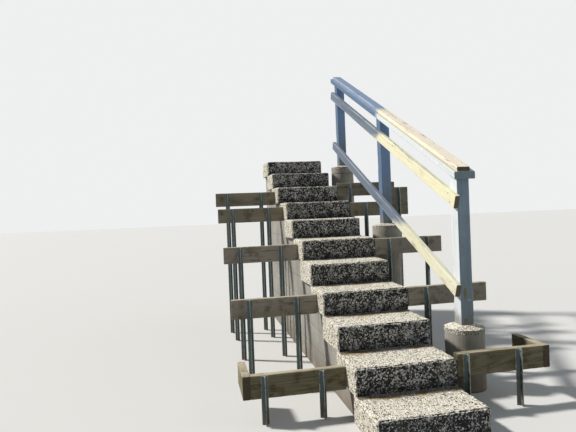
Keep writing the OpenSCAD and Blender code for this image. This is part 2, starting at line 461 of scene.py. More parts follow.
castLook = {
    "sand": (0.72, 0.71, 0.69),
    "stones": (0.50, 0.47, 0.41),
    "joint": (0.42, 0.39, 0.34),
    "salts": (0.60, 0.585, 0.55),
    "holes": (0.07, 0.065, 0.055),
    "cloudGain": 1.35,
}


# concrete cast against boards or in lifts, its joints a lift apart
def castFinish(name, tint, soil, liftHeight):
    look = castLook
    f = Finish(name)
    sand = f.noise(240, 4, 0.7)
    cloud = f.between(f.noise(3.2, 5, 0.6), 0.3, 0.7)
    holes = f.between(f.cells(46), 0.16, 0.08) * f.between(f.noise(4, 3), 0.42, 0.55)
    stones = f.between(f.cells(70), 0.42, 0.30) * f.between(f.noise(9, 4, shift=(2, 5, 1)), 0.55, 0.62)
    inLift = (f.z / liftHeight).maths("FRACT")
    joint = f.most(f.between(inLift, 0.035, 0.0), f.between(inLift, 0.965, 1.0))
    streak = f.between(f.noise((30, 30, 1.6), 5, 0.65), 0.48, 0.75)
    low = f.between(f.z + f.noise(6, 4) * 0.25, 0.42, 0.12)
    salts = f.between(f.noise(5, 6, 0.62, shift=(7, 2, 4)), 0.60, 0.72)
    crown = f.between(f.outward()[2], 0.55, 0.9) * f.between(f.noise(60, 4, 0.7), 0.35, 0.6)
    colour = f.coats(
        f.mix(cloud, tint, [c * look["cloudGain"] for c in tint]),
        (sand, look["sand"], "MULTIPLY"),
        (stones * 0.55, look["stones"]),
        (streak * 0.55, soil, "MULTIPLY"),
        (joint * 0.55, look["joint"], "MULTIPLY"),
        (low * 0.7, soil, "MULTIPLY"),
        (salts * 0.40, look["salts"]),
        (crown, stoneLook["mortarPale"]),
        (holes, look["holes"]))
    grain = f.noise((60, 5, 210), 4, 0.6, 0.3)
    height = sand * 0.35 + grain * 0.35 + stones * 0.5 - holes * 1.2 - joint * 0.6
    return f.give(Base_Color=colour, Roughness=0.84 + 0.12 * sand, Normal=f.bump(height, 0.0030, 0.9))


# finishes of the timber, with the turns that lay the grain of each kind of piece along X
grainTurns = {
    "slope": (-railPitch, 0, -math.pi / 2),
    "upright": (0, math.pi / 2, 0),
    "across": (0, 0, 0),
    "back": (0, 0, -math.pi / 2),
}


def woodGrain(f, turn, ringWidth=0.004):
    along = f.move(turn)
    figure = f.noise((0.9, 9, 9), 2, 0.4, 0.5, place=along)
    rings = (figure * (0.11 / ringWidth) * math.tau).maths("SINE") * 0.5 + 0.5
    crack = f.noise((1.3, 42, 42), 3, 0.5, place=along, shift=(4, 0, 2)) - 0.5
    crack = f.between(crack.maths("ABSOLUTE"), 0.012, 0.002)
    crack = crack * f.between(f.noise((1.2, 12, 12), 2, place=along), 0.5, 0.64)
    away = f.cells(1, place=f.move(scale=(3.0, 5.5, 5.5), place=along)) + f.noise(14, 2) * 0.03
    knot = f.between(away, 0.15, 0.09)
    return {
        "along": along,
        "rings": rings,
        "fibre": f.noise((3.5, 170, 170), 4, 0.65, place=along),
        "crack": crack,
        "knot": knot,
        "eye": (away * 130).maths("SINE") * knot,
        "halo": f.between(away, 0.30, 0.13),
    }


# where the sawn ends are, and the rings that show there
def endGrain(f, along):
    mask = f.between(f.attribute("endGrain"), 0.35, 0.65)
    rings = f.cells(1, place=f.move(scale=(0.02, 6.5, 6.5), place=along)) + f.noise(40, 3) * 0.025
    return mask, ((rings * 190).maths("SINE") * 0.5 + 0.5) * f.noise(160, 3, 0.7)


# timber without paint: planed rails that silver above some height, that grey being partly a painted blue-grey
# shade, or boards rough from the saw
def bareTimber(name, turn, look):
    f = Finish(name)
    w = woodGrain(f, grainTurns[turn], look.get("ringWidth", 0.004))
    blotch = f.noise((2.2, 9, 9), 4, 0.6, place=w["along"])
    height = f.z + f.noise(6, 4) * 0.12
    # above a given height the colour turns to the silver colour: on the planed rails a blue-grey that is
    # partly silvering and partly painted shade
    silveringAndShade = f.between(height, *look["silverAndShadeFrom"]) * look["silverAndShadeMost"]
    if "silverUntil" in look:
        silveringAndShade = silveringAndShade * f.between(height, *look["silverUntil"], 1.0, 0.45)
    colour = f.coats(
        f.mix(w["rings"] * look["figure"], look["pale"], look["dark"]),
        (w["fibre"], look["fibreShade"], "MULTIPLY"),
        (f.most(w["halo"] * 0.35, w["knot"] * 0.75), look["knot"]),
        (f.between(blotch, 0.42, 0.70) * look["blotch"], look["second"]),
        (silveringAndShade, look["silverAndShade"]))
    relief = w["fibre"] * 0.5 + w["rings"] * 0.35 - w["crack"] * 1.6 + w["eye"] * 0.25
    if "saw" in look:
        lit = f.between(f.outward()[2], 0.45, 0.9) * f.between(blotch, 0.25, 0.6)
        saw = f.noise((look["saw"], 2.5, 2.5), 3, 0.6, place=w["along"])
        soil = f.between(f.noise(11, 5, 0.6), 0.50, 0.68)
        colour = f.coats(
            colour,
            (lit * 0.8, look["topEdge"]),
            (saw * 0.5, look["sawShade"], "MULTIPLY"),
            (soil * 0.6, look["soil"], "MULTIPLY"))
        relief = relief + saw * 0.7
    end, rings = endGrain(f, w["along"])
    colour = f.coats(
        colour,
        (w["crack"] * 0.8, (0.06, 0.05, 0.04)),
        (f.attribute("arris") * f.between(blotch, 0.35, 0.6) * 0.35, look["worn"]),
        (end, f.mix(rings, look["endDark"], look["endPale"])))
    return f.give(Base_Color=colour, Roughness=0.72 + 0.2 * w["fibre"],
                  Normal=f.bump(relief, look.get("relief", 0.0012), 0.9), Specular_IOR_Level=0.2)


paintLook = {
    "paint": (0.255, 0.372, 0.490),
    "paintPale": (0.360, 0.470, 0.580),
    "low": (0.225, 0.285, 0.315),
    # the next two colours are a painted shade up the flight: the darker one on the sunny side, the bluer one
    # on every face
    "kept": (0.105, 0.165, 0.260),
    "shadedPaint": (0.235, 0.390, 0.700),
    "topChalk": (0.62, 0.605, 0.48),
    # near-white chalk on the sunny side: partly real chalking, partly a painted sunlit side
    "chalkAndSunlight": (0.705, 0.745, 0.765),
    "bare": (0.36, 0.315, 0.19),
    "bareGrey": (0.25, 0.225, 0.175),
    "fibreShade": (0.7, 0.68, 0.63),
    # darkens the arrises: partly grime, partly painted shade on the rounded edges
    "arris": (0.42, 0.42, 0.40),
    "dirt": (0.20, 0.195, 0.17),
    "endDark": (0.16, 0.20, 0.20),
    "endPale": (0.36, 0.42, 0.43),
}


# blue-grey paint, chalky on its sunny side as far up the flight as the given point, that chalk being partly a
# painted sunlit side; beyond it a painted shade: bluer paint, darker still on the sunny side
def paintedTimber(name, turn, shadeFrom, patches=(), wear=1.0, footAt=None):
    look = paintLook
    f = Finish(name)
    w = woodGrain(f, grainTurns[turn])
    brushed = f.noise((1.6, 60, 60), 4, 0.6, place=w["along"])
    cloud = f.noise(4.5, 5, 0.6)
    across, _, upward = f.outward()
    sunSide, tops = f.between(across * -1, 0.45, 0.8), f.between(upward, 0.5, 0.9)
    # 1 below the given point up the flight, 0 beyond it, where the painted shade begins
    unshaded = f.between(f.y + cloud * 0.3, shadeFrom, shadeFrom + 0.12, 1.0, 0.0)
    litSunSide = sunSide * unshaded
    paint = f.coats(
        f.mix(f.between(brushed, 0.36, 0.64), look["paint"], look["paintPale"]),
        (f.between(cloud, 0.35, 0.70) * 0.5, look["low"]),
        ((1 - unshaded) * 0.8, look["shadedPaint"]),
        (sunSide * (1 - unshaded) * 0.95, look["kept"]),
        (litSunSide * f.between(cloud + brushed * 0.3, 0.25, 0.60, 0.88, 1.0), look["chalkAndSunlight"]))
    # less grime, fewer chips and no dark arris lines on the sunny side below the shade line, following the
    # painted light
    grime = f.between(f.noise(8, 5, 0.6), 0.50, 0.72) * 0.25 * (1 - litSunSide * 0.7)
    grime = f.most(grime, tops * f.between(cloud, 0.25, 0.60) * 0.4)
    if footAt is not None:  # splashes of soil over the footing
        lift = f.z - (f.y * (flight["rise"] / flight["going"]) + footAt)
        paint = f.mix(f.between(lift, 0.75, 0.15) * (1 - sunSide * 0.9) * 0.8, paint, look["low"])
        grime = f.most(grime, f.between(lift + f.noise(30, 4) * 0.10, 0.14, 0.04) * 0.8)
    scatter = f.between(f.noise(26, 6, 0.62), 0.705, 0.725)
    flaked = f.between(f.noise((4, 34, 34), 5, 0.62, place=w["along"]), 0.67, 0.70)
    chip = f.most(scatter * wear, flaked * wear, w["crack"] * 0.5) * (1 - litSunSide * 0.8)
    wood = f.mix(w["rings"] * 0.6, look["bare"], look["bareGrey"])
    wood = f.mix(w["fibre"], wood, look["fibreShade"], "MULTIPLY")
    # dark lines along the arrises: partly grime, partly painted shade on the rounded edges
    lines = f.between(f.attribute("arris") + f.noise(30, 4, 0.6) * 0.8, 1.25, 1.50) * (1 - litSunSide)
    end, rings = endGrain(f, w["along"])
    colour = f.coats(
        f.mix(chip * 0.75, paint, wood),
        *[(f.spot(centre, size) * strength, tint) for centre, size, tint, strength in patches],
        (lines * 0.45, look["arris"], "MULTIPLY"),
        (grime, look["dirt"]),
        # chalk on the tops stops where the painted shade begins
        (tops * unshaded * f.between(brushed, 0.30, 0.55, 0.65, 0.95), look["topChalk"]),
        (end * 0.45, f.mix(rings, look["endDark"], look["endPale"])))
    relief = brushed * 0.22 + w["fibre"] * 0.16 - chip * 0.75 - w["crack"] * 1.2
    roughness = f.between(chip, 0.0, 1.0, 0.62, 0.9) + brushed * 0.12
    return f.give(Base_Color=colour, Roughness=roughness, Normal=f.bump(relief, 0.0009, 0.85),
                  Specular_IOR_Level=0.2)


# finishes of the steel
steelLook = {
    "paint": (0.045, 0.080, 0.080),
    "paintPale": (0.085, 0.125, 0.120),
    "worn": (0.30, 0.31, 0.30),
    "rust": (0.165, 0.070, 0.028),
    "soil": (0.13, 0.10, 0.07),
    # tip: a painted highlight on the stake tops
    "tip": (0.55, 0.56, 0.54),
    "nail": (0.10, 0.085, 0.075),
    "nailRust": (0.22, 0.12, 0.06),
}


def stakeFinish():
    look = steelLook
    f = Finish("painted_stake_steel")
    patch = f.noise(38, 5, 0.6)
    worn = f.most(f.between(f.attribute("arris") + patch, 1.36, 1.48), f.between(patch, 0.70, 0.73))
    rust = f.between(f.noise(21, 6, 0.65, shift=(4, 4, 1)), 0.60, 0.68)
    colour = f.coats(
        f.mix(f.noise(9, 4), look["paint"], look["paintPale"]),
        (worn, look["worn"]),
        (rust * 0.75, look["rust"]),
        (f.between(f.z + f.noise(18, 4) * 0.25, 0.30, 0.08) * 0.7, look["soil"]),
        # paler tops of the stakes: a painted highlight
        (f.between(f.attribute("tip") + patch * 0.4, 0.75, 1.05) * 0.8, look["tip"]))
    return f.give(Base_Color=colour, Metallic=worn * (1 - rust) * 0.6, Roughness=0.42 + 0.4 * rust,
                  Normal=f.bump(patch + rust, 0.0004, 0.7))


def nailFinish():
    f = Finish("nail_heads")
    spots = f.noise(400, 3)
    colour = f.mix(f.between(spots, 0.4, 0.6), steelLook["nail"], steelLook["nailRust"])
    return f.give(Base_Color=colour, Metallic=0.4, Roughness=0.55 + 0.3 * spots)


# on the three planed rails the silver colour is a blue-grey painted shade over the upper run, partly
# silvering
capLook = {
    "pale": (0.95, 0.875, 0.715), "dark": (0.85, 0.74, 0.56), "second": (0.93, 0.82, 0.71),
    "fibreShade": (0.84, 0.81, 0.76), "knot": (0.36, 0.24, 0.14), "figure": 0.55, "blotch": 0.6,
    "silverAndShade": (0.185, 0.267, 0.415), "silverAndShadeFrom": (2.36, 2.46), "silverAndShadeMost": 0.95,
    "worn": (0.84, 0.79, 0.68), "endDark": (0.07, 0.062, 0.05), "endPale": (0.30, 0.27, 0.22)}
sideRailLook = {
    "pale": (0.89, 0.87, 0.615), "dark": (0.75, 0.69, 0.46), "second": (0.82, 0.80, 0.65),
    "fibreShade": (0.82, 0.80, 0.76), "knot": (0.34, 0.24, 0.13), "figure": 0.45, "blotch": 0.5,
    "silverAndShade": (0.130, 0.172, 0.245), "silverAndShadeFrom": (2.08, 2.17), "silverAndShadeMost": 0.95,
    "worn": (0.88, 0.85, 0.72), "endDark": (0.10, 0.088, 0.07), "endPale": (0.40, 0.36, 0.28)}
lowRailLook = {
    "pale": (0.86, 0.83, 0.63), "dark": (0.68, 0.64, 0.46), "second": (0.74, 0.74, 0.60),
    "fibreShade": (0.77, 0.76, 0.71), "knot": (0.30, 0.22, 0.13), "figure": 0.5, "blotch": 0.6,
    "silverAndShade": (0.125, 0.162, 0.233), "silverAndShadeFrom": (1.22, 1.32), "silverAndShadeMost": 0.95,
    "worn": (0.74, 0.73, 0.68), "endDark": (0.10, 0.088, 0.07), "endPale": (0.36, 0.32, 0.25)}
sawnLook = {
    "pale": (0.290, 0.272, 0.175), "dark": (0.165, 0.147, 0.085), "second": (0.37, 0.325, 0.225),
    "fibreShade": (0.66, 0.64, 0.58), "knot": (0.075, 0.048, 0.028), "figure": 0.75, "blotch": 0.6,
    "silverAndShade": (0.50, 0.45, 0.40), "silverAndShadeFrom": (0.40, 0.75), "silverAndShadeMost": 0.65, "silverUntil": (1.18, 1.32),
    "topEdge": (0.52, 0.46, 0.34), "sawShade": (0.62, 0.60, 0.55), "soil": (0.35, 0.28, 0.20),
    "saw": 300, "ringWidth": 0.0045, "relief": 0.0018,
    "worn": (0.42, 0.37, 0.27), "endDark": (0.05, 0.04, 0.028), "endPale": (0.26, 0.21, 0.13)}
# places on the posts where the paint is off or patched: centre, size, colour, strength
postPatches = [
    ((0.632, 0.722, 0.700), (0.013, 0.02, 0.040), (0.225, 0.205, 0.102), 0.9),
    ((0.639, 0.722, 0.790), (0.007, 0.02, 0.011), (0.33, 0.37, 0.34), 0.8),
    ((0.664, 0.722, 0.647), (0.015, 0.02, 0.007), (0.50, 0.58, 0.56), 0.6),
    ((0.630, 0.722, 0.496), (0.017, 0.02, 0.020), (0.20, 0.125, 0.085), 0.8),
    ((0.690, 0.722, 0.524), (0.008, 0.02, 0.050), (0.30, 0.255, 0.16), 0.8),
    ((0.693, 2.180, 1.420), (0.02, 0.010, 0.035), (0.30, 0.26, 0.17), 0.7)]
finishes = {
    "block": blockFinish(),
    "pebble": pebbleFinish(),
    "foundation": castFinish("board_marked_concrete", (0.29, 0.28, 0.255), (0.55, 0.45, 0.34), 0.18),
    "footing": castFinish("rough_footing_concrete", (0.34, 0.32, 0.28), (0.60, 0.50, 0.38), 0.45),
    "cap": bareTimber("sun_bleached_cap", "slope", capLook),
    "sideRail": bareTimber("weathered_side_rail", "slope", sideRailLook),
    "lowRail": bareTimber("silvered_side_rail", "slope", lowRailLook),
    "board": paintedTimber("painted_handrail_board", "slope", 2.24, wear=0.7),
    "post": paintedTimber("painted_posts", "upright", 1.6, postPatches, footAt=0.11),
    "sawnAcross": bareTimber("sawn_edging_boards", "across", sawnLook),
    "sawnBack": bareTimber("sawn_return_boards", "back", sawnLook),
    "stake": stakeFinish(),
    "nail": nailFinish(),
}
print("finishes ready:", len(finishes))


# step blocks and their pebbles
blockShape = {
    "grid": 0.0092,
    "arris": 0.017,
    "treadFall": 0.003,
    "lap": 0.045,          # the next block stands on this much of the tread
    "bedGap": 0.0003,
    "skin": 0.0024,        # how far the mortar lies behind the stones
    "waves": [(22, 0.0011), (75, 0.0008)],     # how often, how deep
    # wear of the arrises: how often, seed, how much is spared, depth, how soon it bites
    "wear": [(24, 3, 0.08, 0.026, 4), (43, 15, 0.02, 0.016, 4), (7, 6, -0.25, 0.006, 3)],
    "hollow": 0.0035,      # wear in the middle of the treads, and where it lies
    "hollowAt": 0.12,
    "hollowSpread": (0.21, 0.14),
    "tuck": 0.03,
    "chipsOut": {2: [((0.362, -0.016, 0.188), 0.050)], 4: [((-0.36, -0.01, 0.19), 0.040)],
                 1: [((0.16, -0.014, 0.188), 0.028)], 5: [((0.36, -0.012, 0.186), 0.036)]},
    "chipRagged": 0.16,
}
pebbleShape = {"Spacing": 0.0124, "Smallest": 0.0036, "Largest": 0.0100, "Sink": 0.42, "Densest": 26000.0}


def blockMesh(number):
    look = blockShape
    low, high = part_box(f"step_{number:02d}")
    size = high - low
    soft = look["arris"]
    ends = [0.0, 0.3 * soft, 0.65 * soft, soft]
    lines = (marks(size.x, look["grid"], ends),
             marks(size.y, look["grid"], ends, [0.0, look["lap"]]),
             marks(size.z, look["grid"], [0.0], ends))
    tread = size.y - look["lap"]
    wide, deep = look["hollowSpread"]

    def place(p):
        inner = Vector((min(max(p.x, soft), size.x - soft), max(p.y, soft), min(p.z, size.z - soft)))
        out = p - inner
        outside = out.length > tiny
        away = out.normalized() if outside else Vector((0, 0, 0))
        q = inner + away * min(out.length, soft) if outside else p.copy()
        q.z -= look["treadFall"] * max(0.0, 1 - p.y / tread) * p.z / size.z
        if p.y > tread - 0.0005 and away.z > 0.5:  # under the next block
            q.z -= look["bedGap"]
            return low + q
        world = low + q
        edge = 1 - max(abs(a) for a in away) if outside else 0.0
        depth = look["skin"]
        for often, height in look["waves"]:
            depth += height * rough(world, often, number)
        for often, seed, spared, most, bite in look["wear"]:
            depth += max(0.0, rough(world, often, seed + number) - spared) * most * min(1.0, edge * bite)
        if away.z > 0.6:
            middle = (q.x - size.x / 2) / wide
            depth += look["hollow"] * math.exp(-middle * middle - ((q.y - look["hollowAt"]) / deep) ** 2)
            depth *= min(1.0, (tread - p.y) / look["tuck"] + 0.1)
        q -= away * depth
        for centre, radius in look["chipsOut"].get(number, []):
            centre = Vector(centre) + Vector((size.x / 2, 0, 0))
            gap = q - centre
            ragged = radius * (1 + look["chipRagged"] * rough(world, 60, 9))
            if gap.length < ragged:
                q = centre + gap.normalized() * ragged
        if p.y < soft and p.z < tiny:
            q.z = 0.0
        return low + q

    points, faces = latticeBox(lines, place, ("left", "right", "front", "top"))
    mesh = closedMesh(points, faces, finishes["block"], 60)
    stony = []
    for face in mesh.polygons:
        underNext = face.normal.z > 0.6 and face.center.y - low.y > tread - 0.004
        stony.append(not underNext and face.normal.z > -0.6 and face.normal.y < 0.6)
    addAttribute(mesh, "stony", "BOOLEAN", "FACE", stony)
    return mesh, low, high


# flattened pebbles, sunk into every stony face
def pebbleTree():
    t = Growth("pebbles_over_a_surface", {**pebbleShape, "Seed": 1})
    stony = t.add("GeometryNodeInputNamedAttribute", {"data_type": "BOOLEAN"}, {"Name": "stony"})
    points = t.add("GeometryNodeDistributePointsOnFaces", {"distribute_method": "POISSON"}, {
        "Mesh": t.size("Geometry"), "Selection": stony, "Distance Min": t.size("Spacing"),
        "Density Max": t.size("Densest"), "Seed": t.size("Seed")})
    normal, turn = t.outputs(points, "Normal", "Rotation")
    across, _, upward = t.split(normal)
    seeds = iter(range(11, 30))

    def chance(low, high):
        return t.add("FunctionNodeRandomValue", {"data_type": "FLOAT"}, {2: low, 3: high, 8: next(seeds)}, 1)

    def combine(*parts):
        return t.add("ShaderNodeCombineXYZ", {}, parts)

    size = chance(t.size("Smallest"), t.size("Largest"))
    kept = {"tone": chance(0.0, 1.0), "clean": chance(0.0, 1.0), "facing": upward, "sunny": across * -1}
    for name, value in kept.items():
        points = t.add("GeometryNodeStoreNamedAttribute", {"data_type": "FLOAT", "domain": "POINT"},
                       {"Geometry": points, "Name": name, "Value": value})
    sink = size * t.size("Sink") * -1
    down = t.add("ShaderNodeVectorMath", {"operation": "SCALE"}, {0: normal, "Scale": sink})
    points = t.add("GeometryNodeSetPosition", {}, {"Geometry": points, "Offset": down})
    tilt = combine(chance(-0.3, 0.3), chance(-0.3, 0.3), chance(0.0, math.tau))
    tilt = t.add("FunctionNodeEulerToRotation", {}, [tilt])
    turn = t.add("FunctionNodeRotateRotation", {"rotation_space": "LOCAL"}, [turn, tilt])
    scale = combine(size, size * chance(0.72, 1.0), size * chance(0.55, 0.85))
    ball = t.add("GeometryNodeMeshIcoSphere", {}, {"Radius": 1.0, "Subdivisions": 1})
    t.end(t.add("GeometryNodeInstanceOnPoints", {}, {
        "Points": points, "Instance": ball, "Rotation": turn, "Scale": scale}))
    return t


# pebbles over a piece, held inside the box of its node; returns how many
def addPebbles(piece, ending, slotName, box, shape, seed):
    mesh = pebbles.grow(piece, {**shape, "Seed": seed, "Finish": finishes["pebble"]})
    co = np.zeros(len(mesh.vertices) * 3)
    mesh.vertices.foreach_get("co", co)
    co = np.clip(co.reshape(-1, 3), *box)
    mesh.vertices.foreach_set("co", co.ravel())
    mesh.update()
    addPiece(f"{piece.name}_{ending}", mesh, slotName)
    return len(mesh.polygons) // 20


pebbles = pebbleTree()
pebbleCount = 0
for number in range(1, flight["steps"] + 1):
    mesh, *box = blockMesh(number)
    block = addPiece(f"block_{number:02d}", mesh, "exposed_aggregate", [f"step_{number:02d}"])
    pebbleCount += addPebbles(block, "pebbles", "exposed_aggregate", box, pebbleShape, 40 + number)
print("step blocks:", flight["steps"], "with", pebbleCount, "pebbles")


# foundation and footings
foundationShape = {
    "cell": 0.0200,
    "across": 14,
    "boards": 0.18,
    "boardStep": 0.0016,   # one board stands back from the next by up to this much
    "lumps": 0.0035,
    "grain": 0.0012,
    "groove": 0.0012,
}
footingShape = {
    "sectors": 56,
    "grid": 0.024,
    "lumps": 0.009,
    "dome": 0.028,         # the top is crowned by this much
    "domeGrain": 0.0016,
    "domeRings": (0.12, 0.25, 0.38, 0.51, 0.64, 0.77, 0.88),
    "pocket": 0.30,        # the post stands this deep, with a film of air round it
    "film": 0.0005,
    "tieGrid": 0.026,
    "tieLumps": 0.006,
    "tieHalf": 0.09,
    "tieLap": (0.008, 0.10),
}
gravelShape = {**pebbleShape, "Spacing": 0.0105, "Largest": 0.0075, "Sink": 0.30}


def foundationMesh():
    look = foundationShape
    low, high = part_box("foundation")
    rise, going = flight["rise"], flight["going"]
    perStep, perRise = round(going / look["cell"]), round(rise / look["cell"])
    ys = [low.y + going / perStep * j for j in range(perStep * (flight["steps"] - 1) + 1)]
    zs = [rise / perRise * k for k in range(perRise * (flight["steps"] - 1) + 1)]
    xs = list(np.linspace(low.x, high.x, look["across"] + 1))
    last = len(xs) - 1
    rng = random.Random(5)
    offset = [rng.uniform(0, look["boardStep"]) for _ in range(flight["steps"])]
    found, points, faces = {}, [], []

    def heightAt(j):  # rows of cells filled in column j
        return perRise * (j // perStep + 1) if 0 <= j < len(ys) - 1 else 0

    def at(i, j, k):
        if (i, j, k) in found:
            return found[i, j, k]
        p = Vector((xs[i], ys[j], zs[k]))
        depth = offset[int(p.z / look["boards"] + 0.001)] + look["lumps"] * (0.5 + 0.5 * rough(p, 2.3))
        depth = max(0.0, depth + look["grain"] * rough(p, 28, 4))
        if k % perRise == 0:
            depth += look["groove"]
        if i in (0, last):
            p.x += depth if i == 0 else -depth
        if j == len(ys) - 1:
            p.y -= depth
        found[i, j, k] = len(points)
        points.append(p)
        return found[i, j, k]

    for j in range(len(ys) - 1):
        for k in range(heightAt(j)):
            for i in (0, last):
                faces.append((at(i, j, k), at(i, j + 1, k), at(i, j + 1, k + 1), at(i, j, k + 1)))
    for i in range(last):
        for j in range(len(ys) - 1):
            for k in (0, heightAt(j)):
                faces.append((at(i, j, k), at(i + 1, j, k), at(i + 1, j + 1, k), at(i, j + 1, k)))
        for j in range(len(ys)):
            lower, upper = sorted((heightAt(j - 1), heightAt(j)))
            for k in range(lower, upper):
                faces.append((at(i, j, k), at(i + 1, j, k), at(i + 1, j, k + 1), at(i, j, k + 1)))
    return closedMesh(points, faces, finishes["foundation"], 50)


# a round pier with a pocket for its post, and the tie that joins it to the flight
def footingMesh(number):
    look = footingShape
    low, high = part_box(f"footing_{number}")
    postLow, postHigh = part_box(f"post_{number}")
    middle = (postLow + postHigh) / 2
    radius, half = high.x - middle.x, (postHigh.x - postLow.x) / 2 + look["film"]
    domeRadius = (radius ** 2 + look["dome"] ** 2) / (2 * look["dome"])
    top, rim = high.z, high.z - look["dome"]

    def domeAt(r):
        return top - domeRadius + math.sqrt(domeRadius ** 2 - min(r, radius) ** 2)

    count = look["sectors"]
    angles = [math.tau * (a + 0.5) / count for a in range(count)]
    square = [half / max(abs(math.cos(a)), abs(math.sin(a))) for a in angles]
    points, faces, rings = [], [], []

    def addRing(radii, heights, wobble=0.0):
        ring = []
        for a, r, h in zip(angles, radii, heights):
            p = Vector((middle.x + r * math.cos(a), middle.y + r * math.sin(a), h))
            lump = wobble * (0.45 + 0.35 * rough(p, 9, number) + 0.2 * rough(p, 27, 2))
            p -= Vector((math.cos(a), math.sin(a), 0)) * max(0.0, lump)
            if wobble == 0 and h > top - 0.06 and r > half * 1.5:
                p.z -= look["domeGrain"] * (1 + rough(p, 40, number))
            ring.append(len(points))
            points.append(p)
        rings.append(ring)

    addRing(square, [top - look["pocket"]] * count)
    addRing(square, [domeAt(s) - 0.001 for s in square])
    for t in look["domeRings"]:
        radii = [s + (radius - s) * t for s in square]
        addRing(radii, [domeAt(r) for r in radii])
    addRing([radius * 0.985] * count, [domeAt(radius * 0.97)] * count, look["lumps"] * 0.5)
    for h in marks(rim, look["grid"], (0.004,), (0.0,)):
        addRing([radius] * count, [rim - h] * count, look["lumps"])
    for inner, outer in zip(rings, rings[1:]):
        faces += bridge(inner, outer)
    for ring in (rings[0], rings[-1]):
        faces += fanOver(ring, points)

    tieTop = flight["rise"] * (flight["firstPostStep"] - 2 + (number - 1) * flight["stepsPerPost"])
    tieLow = Vector((low.x - look["tieLap"][0], middle.y - look["tieHalf"], 0))
    size = Vector((middle.x - look["tieLap"][1], middle.y + look["tieHalf"], tieTop)) - tieLow

    def tiePlace(p):
        q = tieLow + p
        lump = look["tieLumps"] * (0.5 + 0.5 * rough(q, 12, number))
        q.y += lump if p.y < tiny else (-lump if p.y > size.y - tiny else 0)
        q.z -= lump if p.z > size.z - tiny else 0
        return q

    lines = [marks(s, look["tieGrid"]) for s in size]
    more, moreFaces = latticeBox(lines, tiePlace, ("front", "back", "top"))
    faces += [tuple(v + len(points) for v in face) for face in moreFaces]
    mesh = closedMesh(points + more, faces, finishes["footing"], 55)
    stony = [face.center.z > top - 0.045 and face.normal.z > -0.2
             and max(abs(face.center.x - middle.x), abs(face.center.y - middle.y)) > half + 0.004
             for face in mesh.polygons]
    addAttribute(mesh, "stony", "BOOLEAN", "FACE", stony)
    return mesh, low, high


addPiece("stepped_foundation", foundationMesh(), "foundation_concrete", ["foundation"])
for number in range(1, flight["posts"] + 1):
    mesh, *box = footingMesh(number)
    pier = addPiece(f"post_footing_{number}", mesh, "footing_concrete", [f"footing_{number}"])
    addPebbles(pier, "gravel", "footing_concrete", box, gravelShape, 70 + number)
print("foundation and footings cast")


# timber
beamShape = {
    "grid": 0.016,
    "ringGrid": 0.026,
    "planedCorner": 0.004,
    "sawnCorner": 0.003,
    "edge": 0.004,         # the first grid line beside a corner
    "wave": 0.0005,
    "endRound": 0.0014,
    "endWear": (0.012, 0.0008),    # how far from the ends, how deep
    "chip": 0.0028,
    "chipGain": 2.2,
    "crackHalf": 0.0011,
    "crackStray": 0.0035,
    "endSunk": 0.0004,
}
crackKeys = ("side", "at", "end", "length", "depth")
timberSlots = {"board": "painted_timber", "post": "painted_timber", "cap": "handrail_timber",
               "sideRail": "side_rail_timber", "lowRail": "side_rail_timber",
               "sawnAcross": "sawn_pine", "sawnBack": "sawn_pine"}


# points round a rectangle: place, outward direction, arris and crack weights, crack number, direction
def section(width, height, sawn, cracks):
    look = beamShape
    corner = look["sawnCorner"] if sawn else look["planedCorner"]
    loop = []
    sides = [((corner, 0), (1, 0), width), ((width, corner), (0, 1), height),
             ((width - corner, height), (-1, 0), width), ((0, height - corner), (0, -1), height)]

    def onSide(s):
        return Vector((start[0] + run[0] * s, start[1] + run[1] * s))

    for side, (start, run, whole) in enumerate(sides):
        length, out, onward = whole - 2 * corner, Vector((run[1], -run[0])), Vector(run)
        stops = {round(s, 5): (0.0, None) for s in marks(length, look["grid"], (look["edge"],))}
        for number, crack in enumerate(cracks):
            if crack["side"] == side:
                at, half = crack["at"] * length, look["crackHalf"]
                stops = {s: v for s, v in stops.items() if abs(s - at) > 0.004}
                stops.update({at - half: (0.0, number), at: (1.0, number), at + half: (0.0, number)})
        for s in sorted(stops):
            weight, number = stops[s]
            arris = 0.35 if s < 0.005 or s > length - 0.005 else 0.0
            loop.append((onSide(s), out, arris, weight, number, onward))
        turnAt = onSide(length) - out * corner
        for t in ((0.0, 1.0) if sawn else (0.0, 0.33, 0.67, 1.0)):
            angle = t * math.pi / 2
            away = out * math.cos(angle) + onward * math.sin(angle)
            loop.append((turnAt + away * corner, away, 1.0, 0.0, None, Vector((0, 0))))
    return loop


